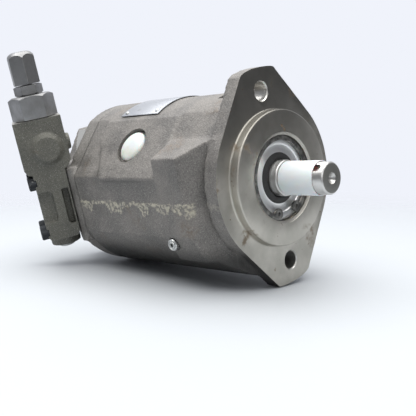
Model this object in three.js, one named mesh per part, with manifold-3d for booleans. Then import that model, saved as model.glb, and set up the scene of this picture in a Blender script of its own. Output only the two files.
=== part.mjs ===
// Variable-displacement axial piston pump of the swashplate type, 18 cm3 per turn.
// Millimetres. The origin is on the shaft axis in the plane of the mounting flange's front face.
// +X runs along the shaft towards the driving motor, +Z along the line of the two flange bolt holes.
import * as THREE from 'three';
import { mergeVertices } from 'three/addons/utils/BufferGeometryUtils.js';
import Module from 'manifold-3d';

const wasm = await Module();
wasm.setup();

// Mounting flange, SAE A two-bolt pattern
const PILOT_R = 41.275;
const PILOT_HIGH = 6.35;
const FLANGE_THICK = 10;
const FLANGE_WAIST_R = 52;
const FLANGE_TIP_R = 67.2;
const BOLT_HALF_SPACING = 53.2;
const BOLT_HOLE_R = 5.55;
const BOLT_POCKET_R = 10.6;
const SEAL_BORE_R = 26;
const SEAL_BORE_END = -25;

// Housing outline across the shaft axis
const TOP_R = 54;
const BOTTOM_R = 60.2;
const SIDE_Y = 56;
const SHOULDER_SUM = 72;
const TOP_EDGE_Y = 24.5;
const JOINT_X = -130;

// Rotating group
const PISTON_COUNT = 9;
const PITCH_R = 26;
const PISTON_R = 6.75;
const BLOCK_BORE_R = 7.85;
const BLOCK_R = 36.75;
const BLOCK_FRONT = -80;
const BLOCK_REAR = -125.7;
const BORE_BOTTOM = -121.5;
const CASE_R = 38.2;
const SHAFT_R = 9.525;
const SHAFT_END = 41;
const KEYWAY_TURN = THREE.MathUtils.degToRad(35);

// Swashplate: it tilts about an axis along Y through the plane of the piston balls
const TILT_X = -67;
const TRACK_OFFSET = 6.5;
const CRADLE_R = 34;
const CHAMBER_R = 38.4;
const CONTROL_Z = -47;
const BIAS_Z = 44.2;

// Port plate
const PLATE_FRONT = -130.9;
const PLATE_STEP = -143;
const PLATE_REAR = -181;
const SCREW_SEAT = -135.2;
const PORT_X = -161;
const SUCTION_Y = 8.5;
const SCREW_PLACES = [[31.5, 31.5], [-31.5, 31.5], [28, -40.5], [-28, -40.5]];

// Outside of the case
const TAPER_LONG = 14;
const TAPER_Y = 40;
const DRAIN_X = -80;
const DRAIN_SHIFT = 4;
const DRAIN_FACE = 48.9;
const GAUGE_PLACE = [-41, -26];
const PLATE_X = [-106, -68];
const PLATE_HALF_ANGLE = 0.45;

// Control valve, in a frame turned 30 degrees about +Z
const VALVE_ANCHOR = [-137.2, -56.4, 0];
const VALVE_TURN = THREE.MathUtils.degToRad(-30);
const VALVE_DEEP = 29;
const SPOOL_X = -14.5;
const SPOOL_Y = -11;
const VALVE_SCREW_PLACES = [[-5, 16.5], [-24, 16.5], [-5, -19], [-24, -19]];

const steel = { color: 0x9a9c9d, roughness: 0.35, metalness: 0.9 };
const polished = { color: 0xb9bbbc, roughness: 0.2, metalness: 1 };
const casting = { color: 0x8b857c, roughness: 0.75, metalness: 0.35 };
const valveCasting = { color: 0x5e5b52, roughness: 0.7, metalness: 0.35 };
const blackSteel = { color: 0x26282b, roughness: 0.5, metalness: 0.6 };
const bronze = { color: 0xa98a55, roughness: 0.4, metalness: 0.9 };
const rubber = { color: 0x242424, roughness: 0.85, metalness: 0 };
const whitePlastic = { color: 0xeef0ee, roughness: 0.45, metalness: 0 };
const aluminium = { color: 0xc4c8cc, roughness: 0.35, metalness: 0.9 };
const springSteel = { color: 0x77797b, roughness: 0.4, metalness: 0.9 };

// A closed solid from a three.js geometry, its faces turned outward.
function solid(geometry) {
  const bare = geometry.index ? geometry.toNonIndexed() : geometry.clone();
  for (const name of Object.keys(bare.attributes)) {
    if (name !== 'position') {
      bare.deleteAttribute(name);
    }
  }
  const merged = mergeVertices(bare, 1e-4);
  const p = merged.attributes.position.array;
  const all = merged.index.array;
  const kept = [];
  let volume = 0;
  for (let i = 0; i < all.length; i += 3) {
    const [a, b, c] = [all[i], all[i + 1], all[i + 2]];
    if (a === b || b === c || c === a) {
      continue;
    }
    kept.push(a, b, c);
    const u = new THREE.Vector3().fromArray(p, 3 * a);
    const v = new THREE.Vector3().fromArray(p, 3 * b);
    const w = new THREE.Vector3().fromArray(p, 3 * c);
    volume += u.dot(v.cross(w));
  }
  if (volume < 0) {
    kept.reverse();
  }
  const mesh = new wasm.Mesh({
    numProp: 3,
    vertProperties: new Float32Array(p),
    triVerts: new Uint32Array(kept),
  });
  return new wasm.Manifold(mesh);
}

function geometryOf(body) {
  const mesh = body.getMesh();
  const geometry = new THREE.BufferGeometry();
  geometry.setAttribute('position', new THREE.BufferAttribute(new Float32Array(mesh.vertProperties), 3));
  geometry.setIndex(new THREE.BufferAttribute(new Uint32Array(mesh.triVerts), 1));
  geometry.computeVertexNormals();
  return geometry;
}

function shapeOf(points, holes = []) {
  const shape = new THREE.Shape(points.map(([a, b]) => new THREE.Vector2(a, b)));
  for (const hole of holes) {
    shape.holes.push(new THREE.Path(hole.map(([a, b]) => new THREE.Vector2(a, b))));
  }
  return shape;
}

// A prism along X from outline points [y, z].
function prismX(points, low, high, holes = []) {
  const g = new THREE.ExtrudeGeometry(shapeOf(points, holes), { depth: high - low, bevelEnabled: false });
  const x = new THREE.Vector3(1, 0, 0);
  const y = new THREE.Vector3(0, 1, 0);
  const z = new THREE.Vector3(0, 0, 1);
  g.applyMatrix4(new THREE.Matrix4().makeBasis(y, z, x));
  g.translate(low, 0, 0);
  return solid(g);
}

// A prism along Y from outline points [x, z].
function prismY(points, low, high) {
  const g = new THREE.ExtrudeGeometry(shapeOf(points), { depth: high - low, bevelEnabled: false });
  const x = new THREE.Vector3(1, 0, 0);
  const back = new THREE.Vector3(0, -1, 0);
  const z = new THREE.Vector3(0, 0, 1);
  g.applyMatrix4(new THREE.Matrix4().makeBasis(x, z, back));
  g.translate(0, high, 0);
  return solid(g);
}

// A prism along Z from outline points [x, y].
function prismZ(points, low, high) {
  const g = new THREE.ExtrudeGeometry(shapeOf(points), { depth: high - low, bevelEnabled: false });
  g.translate(0, 0, low);
  return solid(g);
}

function circlePoints(cy, cz, r, count) {
  const points = [];
  for (let i = 0; i < count; i += 1) {
    const a = (2 * Math.PI * i) / count;
    points.push([cy + r * Math.cos(a), cz + r * Math.sin(a)]);
  }
  return points;
}

function arcPoints(cy, cz, r, from, to, count) {
  const points = [];
  for (let i = 0; i <= count; i += 1) {
    const a = from + ((to - from) * i) / count;
    points.push([cy + r * Math.cos(a), cz + r * Math.sin(a)]);
  }
  return points;
}

// A solid of revolution about the X axis from profile points [x, r].
function turned(profile, count) {
  const points = profile.map(([x, r]) => new THREE.Vector2(r, x));
  const g = new THREE.LatheGeometry(points, count);
  g.rotateZ(-Math.PI / 2);
  return solid(g);
}

// A solid of revolution about Z from profile points [r, z].
function turnedZ(profile, count) {
  const g = new THREE.LatheGeometry(profile.map(([r, z]) => new THREE.Vector2(r, z)), count);
  g.rotateX(Math.PI / 2);
  return solid(g);
}

// A round bar along X, Y or Z, as a geometry.
function barShape(axis, centre, r, low, high, count) {
  const g = new THREE.CylinderGeometry(r, r, high - low, count);
  const mid = (low + high) / 2;
  if (axis === 'x') {
    g.rotateZ(-Math.PI / 2);
    g.translate(mid, centre[0], centre[1]);
  } else if (axis === 'y') {
    g.translate(centre[0], mid, centre[1]);
  } else {
    g.rotateX(Math.PI / 2);
    g.translate(centre[0], centre[1], mid);
  }
  return g;
}

function bar(axis, centre, r, low, high, count) {
  return solid(barShape(axis, centre, r, low, high, count));
}

function block(x, y, z) {
  const g = new THREE.BoxGeometry(x[1] - x[0], y[1] - y[0], z[1] - z[0]);
  g.translate((x[0] + x[1]) / 2, (y[0] + y[1]) / 2, (z[0] + z[1]) / 2);
  return solid(g);
}

// A compression spring of round wire, standing along +Z from low to high.
function coil(coilR, wireR, low, high, turns, steps) {
  class Helix extends THREE.Curve {
    getPoint(t, target = new THREE.Vector3()) {
      const a = 2 * Math.PI * turns * t;
      const z = low + wireR + (high - low - 2 * wireR) * t;
      return target.set(coilR * Math.cos(a), coilR * Math.sin(a), z);
    }
  }
  const wire = shapeOf(circlePoints(0, 0, wireR, 4));
  return new THREE.ExtrudeGeometry(wire, { steps, extrudePath: new Helix(), bevelEnabled: false });
}

function hexPoints(cx, cy, acrossFlats, turn) {
  const r = acrossFlats / Math.sqrt(3);
  const points = [];
  for (let i = 0; i < 6; i += 1) {
    const a = turn + (Math.PI * i) / 3;
    points.push([cx + r * Math.cos(a), cy + r * Math.sin(a)]);
  }
  return points;
}

const pump = new THREE.Group();
const valve = new THREE.Group();
valve.position.fromArray(VALVE_ANCHOR);
valve.rotation.z = VALVE_TURN;
pump.add(valve);

function place(name, body, look, into = pump) {
  const mesh = new THREE.Mesh(geometryOf(body), new THREE.MeshStandardMaterial(look));
  mesh.name = name;
  into.add(mesh);
  return mesh;
}

// The outline of the case across the shaft: a crowned top, sloping shoulders, flat sides, a round underside.
function caseOutline(grow) {
  const side = SIDE_Y + grow;
  const sum = SHOULDER_SUM + grow * Math.SQRT2;
  const topAngle = Math.atan2(sum - TOP_EDGE_Y, TOP_EDGE_Y);
  const lowAngle = Math.acos(side / (BOTTOM_R + grow));
  const crown = arcPoints(0, 0, TOP_R + grow, topAngle, Math.PI - topAngle, 6);
  const under = arcPoints(0, 0, BOTTOM_R + grow, Math.PI + lowAngle, 2 * Math.PI - lowAngle, 14);
  return [...crown, [-side, sum - side], ...under, [side, sum - side]];
}

// The flange: two tips joined to a round waist by straight sides, the same after half a turn.
function flangeOutline() {
  const right = [15.6, 64.2];
  const left = [-17, 62.6];
  const touch = ([y, z], side) => Math.atan2(z, y) + side * Math.acos(FLANGE_WAIST_R / Math.hypot(y, z));
  const tip = arcPoints(0, 0, FLANGE_TIP_R, Math.atan2(64.8, 14.6), Math.atan2(65.6, -11.5), 4);
  const corner = [[-14.4, 65.2], [-16.1, 64.1]];
  const waist = arcPoints(0, 0, FLANGE_WAIST_R, touch(left, 1), Math.PI + touch(right, -1), 5);
  const half = [right, ...tip, ...corner, left, ...waist];
  return [...half, ...half.map(([y, z]) => [-y, -z])];
}

// The hollow in the case for the rotating group, the swashplate and the two stroking pistons.
function caseHollow() {
  const half = Math.PI / 2;
  const arch = arcPoints(TILT_X, 0, CHAMBER_R, -half, half, 18);
  const chamber = prismY([...arch, [TILT_X - 4, CHAMBER_R], [TILT_X - 4, -CHAMBER_R]], -36.5, 36.5);
  const within = bar('x', [0, 0], 43, TILT_X - 5, -20, 32);
  const seatArc = THREE.MathUtils.degToRad(50);
  const seat = [
    ...arcPoints(TILT_X, 0, CRADLE_R + 2.6, -seatArc, seatArc, 9),
    ...arcPoints(TILT_X, 0, CHAMBER_R + 2, seatArc, -seatArc, 6),
  ];
  const barrel = bar('x', [0, 0], CASE_R, JOINT_X - 1, TILT_X, 40);
  const topPocket = block([BLOCK_FRONT, -38], [-6.5, 6.5], [30, 49]);
  const lowPocket = block([-82, -49], [-7.8, 7.8], [-55.3, -30]);
  const biasBore = bar('x', [0, BIAS_Z], 4.7, -127, -79, 14);
  const controlBore = bar('x', [0, CONTROL_Z], 6.9, -116, -81, 18);
  return chamber.intersect(within).subtract(prismY(seat, 17.8, 29.3)).subtract(prismY(seat, -29.3, -17.8))
    .add(barrel).add(topPocket).add(lowPocket).add(biasBore).add(controlBore);
}

// A cylinder standing square to the left shoulder of the case, from one distance off the axis to another.
function shoulderBar(r, low, high, count) {
  const g = new THREE.CylinderGeometry(r, r, high - low, count);
  g.translate(0, (low + high) / 2, 0);
  g.rotateX((3 * Math.PI) / 4);
  g.translate(DRAIN_X, -DRAIN_SHIFT, -DRAIN_SHIFT);
  return solid(g);
}

function housing() {
  const start = -FLANGE_THICK - TAPER_LONG;
  const plan = [
    [JOINT_X, -60], [start, -60], [start, -57.2], [-FLANGE_THICK, -TAPER_Y], [-5, -TAPER_Y],
    [-5, TAPER_Y], [-FLANGE_THICK, TAPER_Y], [start, 57.2], [start, 60], [JOINT_X, 60],
  ];
  const upper = [[-57.2, 0], [-57.2, 27.5], [-35, 36], [-30, 30], [-30, 0]];
  const lower = [[-57.2, 0], [-30, 0], [-30, -38], [-50.5, -38.6], [-57.2, -21]];
  const mirrored = (points) => points.map(([y, z]) => [-y, z]);
  let body = prismX(caseOutline(0), JOINT_X, -6);
  for (const outline of [upper, lower, mirrored(upper), mirrored(lower)]) {
    body = body.add(prismX(outline, -45, -6));
  }
  body = body.intersect(prismZ(plan, -80, 80));
  const sum = SHOULDER_SUM + 2;
  const pad = [[-26.5, sum - 26.5], [-58, sum - 58], [-58.6, 14.2], [-54, 13.2], [-30, 30]];
  body = body.add(prismX(pad, -117, -45.2));
  body = body.add(prismX(flangeOutline(), -FLANGE_THICK, 0));
  body = body.add(turned([
    [-1, 0], [-1, PILOT_R], [PILOT_HIGH - 0.8, PILOT_R], [PILOT_HIGH, PILOT_R - 0.8], [PILOT_HIGH, 0],
  ], 56));
  for (const z of [BOLT_HALF_SPACING, -BOLT_HALF_SPACING]) {
    body = body.subtract(bar('x', [0, z], BOLT_HOLE_R, -FLANGE_THICK - 1, 1, 18));
    body = body.subtract(bar('x', [0, z], BOLT_POCKET_R, -26, -FLANGE_THICK, 20));
  }
  body = body.subtract(turned([
    [PILOT_HIGH + 1, 0], [PILOT_HIGH + 1, SEAL_BORE_R + 1.4], [PILOT_HIGH - 0.8, SEAL_BORE_R],
    [SEAL_BORE_END, SEAL_BORE_R], [SEAL_BORE_END, 20], [-45, 20], [-45, 0],
  ], 40));
  body = body.subtract(caseHollow());
  body = body.subtract(shoulderBar(8, 30, 60, 20)).subtract(shoulderBar(12.6, DRAIN_FACE, 60, 24));
  body = body.subtract(bar('y', GAUGE_PLACE, 4.2, -60, -46, 14));
  for (const [y, z] of SCREW_PLACES) {
    body = body.subtract(bar('x', [y, z], 4.4, JOINT_X - 1, JOINT_X + 22, 12));
  }
  place('pump_housing', body, casting);
}

// A kidney-shaped slot over one half of the piston circle.
function kidney(mid) {
  const half = THREE.MathUtils.degToRad(48);
  return [
    ...arcPoints(0, 0, PITCH_R + 3.4, mid - half, mid + half, 8),
    ...arcPoints(0, 0, PITCH_R - 3.4, mid + half, mid - half, 8),
  ];
}

function portPlate() {
  let body = prismX(caseOutline(-0.2), PLATE_STEP, PLATE_FRONT);
  const rear = [[-27, -41], [27, -41], [27, 41], [-9.8, 41], [-27, 19]];
  body = body.add(prismX(rear, PLATE_REAR, PLATE_STEP + 1));
  body = body.add(prismZ([
    [-133, -55.8], [-138.24, -55.8], [-164.05, -40.9], [-168, -33], [-172, -20], [-133, -20],
  ], -31, 22));
  for (const mid of [0, Math.PI]) {
    body = body.subtract(prismX(kidney(mid), -139, PLATE_FRONT + 1));
  }
  body = body.subtract(bar('x', [20, 14], 5.4, PORT_X, -138, 12));
  body = body.subtract(bar('x', [-20, -14], 5.4, PORT_X, -138, 12));
  body = body.subtract(bar('z', [PORT_X, SUCTION_Y], 12.5, 5, 42, 18));
  body = body.subtract(bar('z', [PORT_X, SUCTION_Y], 15.8, 20, 42, 24));
  body = body.subtract(bar('z', [PORT_X, -7], 10.5, -42, -5, 16));
  body = body.subtract(bar('z', [PORT_X, -7], 12.8, -42, -22, 20));
  body = body.subtract(bar('x', [0, 0], 16.6, -146.5, PLATE_FRONT + 1, 24));
  const cutAway = new THREE.BoxGeometry(46, 20, 55);
  cutAway.translate(-18, -10, -4.5);
  cutAway.rotateZ(VALVE_TURN);
  cutAway.translate(...VALVE_ANCHOR);
  body = body.subtract(solid(cutAway));
  for (const [y, z] of SCREW_PLACES) {
    body = body.subtract(bar('x', [y, z], 4.5, SCREW_SEAT - 1, PLATE_FRONT + 1, 12));
    body = body.subtract(bar('x', [y, z], 7.2, PLATE_REAR - 1, SCREW_SEAT, 14));
  }
  for (const spot of VALVE_SCREW_PLACES) {
    const tapped = barShape('y', spot, 3.3, -1, 14, 10);
    tapped.rotateZ(VALVE_TURN);
    tapped.translate(...VALVE_ANCHOR);
    body = body.subtract(solid(tapped));
  }
  place('port_plate', body, casting);
  const inner = circlePoints(0, 0, CASE_R + 1, 28);
  const holes = SCREW_PLACES.map(([y, z]) => circlePoints(y, z, 4.8, 8));
  place('port_plate_gasket', prismX(caseOutline(-0.6), -130.72, -130.18, [inner, ...holes]), rubber);
}

// Hexagon-socket cap screws through the port plate into the case, their heads at the rear.
function plateScrews() {
  SCREW_PLACES.forEach(([y, z], i) => {
    const shank = bar('x', [y, z], 4, SCREW_SEAT - 1, JOINT_X + 18, 12);
    const head = bar('x', [y, z], 6.5, SCREW_SEAT - 8.3, SCREW_SEAT - 0.3, 16);
    const socket = prismX(hexPoints(y, z, 6, 0), SCREW_SEAT - 9, SCREW_SEAT - 4);
    place(`port_plate_screw_${i + 1}`, shank.add(head).subtract(socket), blackSteel);
  });
}

function shaftSeal() {
  place('shaft_seal', turned([
    [-5.4, 11.5], [-5.4, 25.7], [2.7, 25.7], [2.7, 21.5], [1.9, 20.5], [1.9, 15.5], [3.4, 12.6],
    [2.9, 11.5], [-0.6, 14.2], [-3.4, 14.2], [-5.4, 11.5],
  ], 28), rubber);
}

// The internal retaining ring that keeps the seal in, open at the bottom between two eyes.
function retainingRing() {
  const low = -Math.PI / 2;
  const gap = 0.3;
  const outline = [
    ...arcPoints(0, 0, 25.6, low + gap, low + 2 * Math.PI - gap, 26),
    ...arcPoints(0, 0, 22.9, low + 2 * Math.PI - gap - 0.1, low + gap + 0.1, 22),
  ];
  let body = prismX(outline, 3.2, 5);
  for (const side of [-1, 1]) {
    const a = low + side * (gap + 0.1);
    const [y, z] = [21.9 * Math.cos(a), 21.9 * Math.sin(a)];
    body = body.add(prismX(circlePoints(y, z, 3.4, 10), 3.2, 5));
    body = body.subtract(bar('x', [y, z], 1.25, 2, 6, 6));
  }
  place('seal_retaining_ring', body, blackSteel);
}

// Rollers in their cage, as a ring with round lobes.
function rollerRing(innerR, midR, rollerR, count, low, high) {
  const points = [];
  for (let i = 0; i < count; i += 1) {
    const a = (2 * Math.PI * i) / count;
    const [cy, cz] = [midR * Math.cos(a), midR * Math.sin(a)];
    for (const b of [-75, 0, 75]) {
      const t = a + THREE.MathUtils.degToRad(b);
      points.push([cy + rollerR * Math.cos(t), cz + rollerR * Math.sin(t)]);
    }
  }
  return prismX(points, low, high, [circlePoints(0, 0, innerR, 20)]);
}

function bearings() {
  place('front_bearing_cup', turned([
    [-9.8, 20.9], [-9.8, 25.65], [-24.6, 25.65], [-24.6, 20.9], [-9.8, 20.9],
  ], 26), polished);
  place('front_bearing_rollers', rollerRing(16.7, 18.6, 1.9, 16, -23.4, -11), steel);
  place('front_bearing_cone', turned([
    [-9.4, 12.9], [-9.4, 15.4], [-24.6, 16.2], [-24.6, 12.9], [-9.4, 12.9],
  ], 20), polished);
  place('rear_bearing_cup', turned([
    [-132, 13.9], [-132, 16.2], [-145.6, 16.2], [-145.6, 13.9], [-132, 13.9],
  ], 20), polished);
  place('rear_bearing_rollers', rollerRing(10.5, 11.9, 1.6, 14, -144.8, -132.6), steel);
}

function driveShaft() {
  const body = turned([
    [36, 0], [39.6, 2], [SHAFT_END, 3.35], [SHAFT_END, 8.6], [SHAFT_END - 0.9, SHAFT_R],
    [8.6, SHAFT_R], [8.6, 11], [-9.1, 11], [-9.1, 12.5], [-25.2, 12.5], [-25.2, 14.5], [-28, 14.5],
    [-30, 10], [-145.6, 10], [-145.6, 0],
  ], 24);
  const keyway = new THREE.BoxGeometry(SHAFT_END - 17, 4.8, 4.8);
  keyway.translate((SHAFT_END + 11) / 2, 0, 9.6);
  keyway.rotateX(KEYWAY_TURN);
  place('drive_shaft', body.subtract(solid(keyway)), steel);
  place('shaft_sleeve', turned([
    [9.4, 9.8], [9.4, 10.3], [34, 10.3], [34, 9.8], [9.4, 9.8],
  ], 28), whitePlastic);
}

function pistonPlaces() {
  const places = [];
  for (let i = 0; i < PISTON_COUNT; i += 1) {
    const a = Math.PI / 2 + (2 * Math.PI * i) / PISTON_COUNT;
    places.push([PITCH_R * Math.cos(a), PITCH_R * Math.sin(a)]);
  }
  return places;
}

function cylinderBlock() {
  const places = pistonPlaces();
  const bores = places.map(([y, z]) => circlePoints(y, z, BLOCK_BORE_R, 14));
  const windows = places.map(([y, z]) => circlePoints(y, z, 3.6, 6));
  const outer = circlePoints(0, 0, BLOCK_R, 30);
  const front = prismX(outer, -95, BLOCK_FRONT, [...bores, circlePoints(0, 0, 10.9, 20)]);
  const middle = prismX(outer, BORE_BOTTOM, -95, [...bores, circlePoints(0, 0, 15.6, 20)]);
  const rear = prismX(outer, BLOCK_REAR, BORE_BOTTOM, [...windows, circlePoints(0, 0, 11.2, 20)]);
  place('cylinder_block', front.add(middle).add(rear), steel);
  const spring = coil(13.4, 1.2, -120.8, -95.6, 4, 40);
  spring.rotateY(Math.PI / 2);
  place('block_spring', solid(spring), springSteel);
  const holes = [circlePoints(0, 0, 14, 20), kidney(0), kidney(Math.PI)];
  place('distributor_plate', prismX(circlePoints(0, 0, 35.5, 32), -130.6, -126.1, holes), bronze);
}

function pistonsAndSlippers() {
  const piston = turned([
    [4.6, 0], [3.2, 3.3], [0, 4.6], [-3.4, 3.1], [-7.6, 3.1], [-10.4, PISTON_R], [-46, PISTON_R],
    [-46, 4], [-18, 4], [-18, 0],
  ], 10);
  const slipper = turned([
    [6.2, 0], [6.2, 8], [3.7, 8], [3.5, 6.4], [-2, 6], [-2, 4.9], [0, 5.3], [3.6, 3.9], [5.1, 0],
  ], 10);
  pistonPlaces().forEach(([y, z], i) => {
    place(`piston_${i + 1}`, piston, polished).position.set(TILT_X, y, z);
    place(`slipper_${i + 1}`, slipper, bronze).position.set(TILT_X, y, z);
  });
}

function retainer() {
  const holes = pistonPlaces().map(([y, z]) => circlePoints(y, z, 7.3, 10));
  const cuts = [circlePoints(0, 0, 16, 20), ...holes];
  const plate = prismX(circlePoints(0, 0, 34, 28), TILT_X + 1.2, TILT_X + 3.2, cuts);
  place('retainer_plate', plate, steel);
  place('retaining_ball', turned([
    [-12.6, 10.9], [-12.6, 13.2], [-6, 14.1], [0, 15.3], [4.2, 14.7], [4.2, 10.9], [-12.6, 10.9],
  ], 22), steel).position.set(TILT_X, 0, 0);
}

function swashplate() {
  const front = TILT_X + TRACK_OFFSET;
  const reach = Math.acos(TRACK_OFFSET / CRADLE_R);
  const drum = prismY(arcPoints(TILT_X, 0, CRADLE_R, -reach, reach, 22), -29, 29);
  const trimmed = drum.intersect(bar('x', [0, 0], 36, TILT_X, TILT_X + 40, 36));
  const track = bar('x', [0, 0], 35, front, front + 5, 36);
  const upperLug = block([front, front + 7.5], [-5, 5], [30, 47.5]);
  const lowerLug = block([front, front + 7.5], [-6, 6], [-52, -30]);
  const opening = prismY([
    [front - 1, -14.2], [front + 31, -23], [front + 31, 23], [front - 1, 14.2],
  ], -12.6, 12.6);
  const ring = bar('x', [0, 0], 14.2, front - 1, front + 6, 24);
  const body = trimmed.add(track).add(upperLug).add(lowerLug).subtract(opening).subtract(ring);
  place('swashplate', body, steel);
  const arc = THREE.MathUtils.degToRad(44);
  const shell = [
    ...arcPoints(TILT_X, 0, CRADLE_R + 2.2, -arc, arc, 10),
    ...arcPoints(TILT_X, 0, CRADLE_R + 0.4, arc, -arc, 10),
  ];
  place('cradle_bearing_left', prismY(shell, -28.7, -18.4), bronze);
  place('cradle_bearing_right', prismY(shell, 18.4, 28.7), bronze);
}

function strokingPistons() {
  const front = TILT_X + TRACK_OFFSET;
  const control = turned([
    [-0.6, 0], [-0.9, 2.2], [-1.8, 4.3], [-3.2, 6.1], [-3.6, 6.5], [-38, 6.5], [-38, 0],
  ], 16);
  place('control_piston', control, polished).position.set(front, 0, CONTROL_Z);
  const bias = turned([
    [-0.4, 0], [-0.7, 1.8], [-1.5, 3.2], [-2.6, 4.2], [-34, 4.2], [-34, 1.6], [-40, 1.6], [-40, 0],
  ], 14);
  place('bias_piston', bias, polished).position.set(front, 0, BIAS_Z);
  const spring = coil(3.1, 0.8, -126.4, front - 34.4, 6, 42);
  spring.rotateY(Math.PI / 2);
  spring.translate(0, 0, BIAS_Z);
  place('bias_spring', solid(spring), springSteel);
}

// The transit plug in the case drain, a small screwed plug low on the side, and the type plate.
function outerTrim() {
  const plug = place('drain_plug', turned([
    [-9, 0], [-9, 7.4], [-1, 7.4], [-1, 10.4], [0.8, 10.4], [1.9, 9.4], [2.7, 6.5], [3, 0],
  ], 24), whitePlastic);
  const outward = new THREE.Vector3(0, -1, 1).normalize();
  plug.quaternion.setFromUnitVectors(new THREE.Vector3(1, 0, 0), outward);
  plug.position.set(DRAIN_X, -DRAIN_SHIFT, -DRAIN_SHIFT).addScaledVector(outward, DRAIN_FACE + 1.3);
  const screw = barShape('y', GAUGE_PLACE, 3.8, -57.9, -48, 14);
  const socket = hexPoints(GAUGE_PLACE[0], GAUGE_PLACE[1], 3.2, 0);
  place('gauge_plug', solid(screw).subtract(prismY(socket, -60, -55.5)), steel);
  const low = Math.PI / 2 - PLATE_HALF_ANGLE;
  const high = Math.PI / 2 + PLATE_HALF_ANGLE;
  const sheet = prismX([
    ...arcPoints(0, 0, TOP_R + 0.9, low, high, 10),
    ...arcPoints(0, 0, TOP_R + 0.3, high, low, 10),
  ], PLATE_X[0], PLATE_X[1]);
  let body = sheet;
  for (const x of [PLATE_X[0] + 3.5, PLATE_X[1] - 3.5]) {
    for (const a of [low + 0.06, high - 0.06]) {
      const head = new THREE.CylinderGeometry(1, 1.6, 1.1, 8);
      head.translate(0, TOP_R + 1.2, 0);
      head.rotateX(a);
      head.translate(x, 0, 0);
      body = body.add(solid(head));
    }
  }
  place('name_plate', body, aluminium);
}

// The pressure compensator: a cast block with a spool across the pump, its spring column on top.
function valveBody() {
  const low = -VALVE_DEEP;
  let body = prismX([
    [-27.4, 58.7], [-27.4, 26.2], [-25.2, 22.4], [-0.4, 22.4], [2.6, 24.2], [5.1, 28.2], [5.1, 58.7],
  ], low, 0);
  body = body.add(prismX([
    [-22.9, 23], [-22.9, -22], [-21, -25.5], [-2.5, -25.5], [-0.4, -22], [-0.4, 23],
  ], low, 0));
  body = body.add(bar('z', [SPOOL_X, SPOOL_Y], 10.4, -31, -24, 20));
  const boss = new THREE.LatheGeometry([
    new THREE.Vector2(0, -1), new THREE.Vector2(11, -1), new THREE.Vector2(11, 0.3),
    new THREE.Vector2(8.8, 2.4), new THREE.Vector2(8, 3), new THREE.Vector2(0, 3),
  ], 24);
  boss.rotateZ(-Math.PI / 2);
  boss.translate(0, -8.7, 38.1);
  body = body.add(solid(boss));
  body = body.add(bar('y', [-5.6, 40], 5.5, 4, 7.6, 16));
  body = body.subtract(block([-7, 1], [-6.2, -1.7], [-16, 9]));
  body = body.subtract(block([-3.5, 1], [-24, -13], [-12.5, 9]));
  body = body.subtract(bar('z', [SPOOL_X, SPOOL_Y], 5.3, -31.5, 36, 18));
  body = body.subtract(bar('z', [SPOOL_X, SPOOL_Y], 6.6, -32, -23.5, 18));
  body = body.subtract(bar('z', [SPOOL_X, SPOOL_Y], 9.2, 34, 60, 24));
  for (const [x, z] of VALVE_SCREW_PLACES) {
    body = body.subtract(bar('y', [x, z], 3.4, -24, 1, 12));
    body = body.subtract(bar('y', [x, z], 5.5, -24, -21.3, 14));
  }
  place('valve_body', body, valveCasting, valve);
}

function valveScrews() {
  VALVE_SCREW_PLACES.forEach(([x, z], i) => {
    const shank = bar('y', [x, z], 3, -22, 11, 10);
    const head = bar('y', [x, z], 5, -27.2, -21.6, 14);
    const socket = prismY(hexPoints(x, z, 5, 0), -28, -24.4);
    place(`valve_screw_${i + 1}`, shank.add(head).subtract(socket), blackSteel, valve);
  });
}

function spoolAndSpring() {
  const spool = turnedZ([
    [0, -18], [5, -18], [5, -8], [3.2, -8], [3.2, 0], [5, 0], [5, 12], [3.2, 12], [3.2, 20], [5, 20],
    [5, 33], [0, 33],
  ], 12);
  place('valve_spool', spool, polished, valve).position.set(SPOOL_X, SPOOL_Y, 0);
  const spring = solid(coil(3.9, 0.9, 33.4, 60.8, 6, 42));
  place('valve_spring', spring, springSteel, valve).position.set(SPOOL_X, SPOOL_Y, 0);
  const plug = turnedZ([
    [0, -33.4], [4.6, -33.4], [6.3, -32.4], [6.3, -23.8], [0, -23.8],
  ], 20);
  place('valve_end_plug', plug, steel, valve).position.set(SPOOL_X, SPOOL_Y, 0);
}

// A hexagon standing along Z, its top corners turned off round.
function hexBar(acrossFlats, low, high, turn) {
  const g = new THREE.ExtrudeGeometry(shapeOf(hexPoints(0, 0, acrossFlats, turn)), {
    depth: high - low, bevelEnabled: false,
  });
  g.translate(0, 0, low);
  const corner = acrossFlats / Math.sqrt(3);
  const round = turnedZ([
    [0, low - 1], [corner + 1, low - 1], [corner + 1, high - 1.8], [acrossFlats * 0.47, high + 0.1],
    [0, high + 0.1],
  ], 24);
  return solid(g).intersect(round);
}

function adjuster() {
  const at = (mesh) => mesh.position.set(SPOOL_X, SPOOL_Y, 0);
  const stem = bar('z', [0, 0], 8.9, 44, 60, 22);
  const hollow = bar('z', [0, 0], 7, 43, 68, 20);
  const through = bar('z', [0, 0], 4.3, 67, 76, 16);
  const plug = hexBar(27, 59.1, 75, 0.52).add(stem).subtract(hollow).subtract(through);
  at(place('adjuster_plug', plug, steel, valve));
  at(place('adjusting_screw', turnedZ([
    [0, 61.2], [6.2, 61.2], [6.2, 64.2], [3.9, 64.8], [3.9, 95], [3, 96], [0, 96],
  ], 14), steel, valve));
  at(place('lock_nut', hexBar(17, 75.4, 82, 0.52).subtract(bar('z', [0, 0], 4.3, 70, 90, 16)), steel, valve));
  const dome = turnedZ([
    [0, 80], [12, 80], [12, 99.4], [9, 101.6], [7, 103.8], [4.6, 104.5], [0, 104.5],
  ], 24);
  const cap = hexBar(17, 82.4, 108, 0.1).intersect(dome).subtract(bar('z', [0, 0], 4.5, 80, 101, 16));
  at(place('cap_nut', cap, steel, valve));
}

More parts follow.
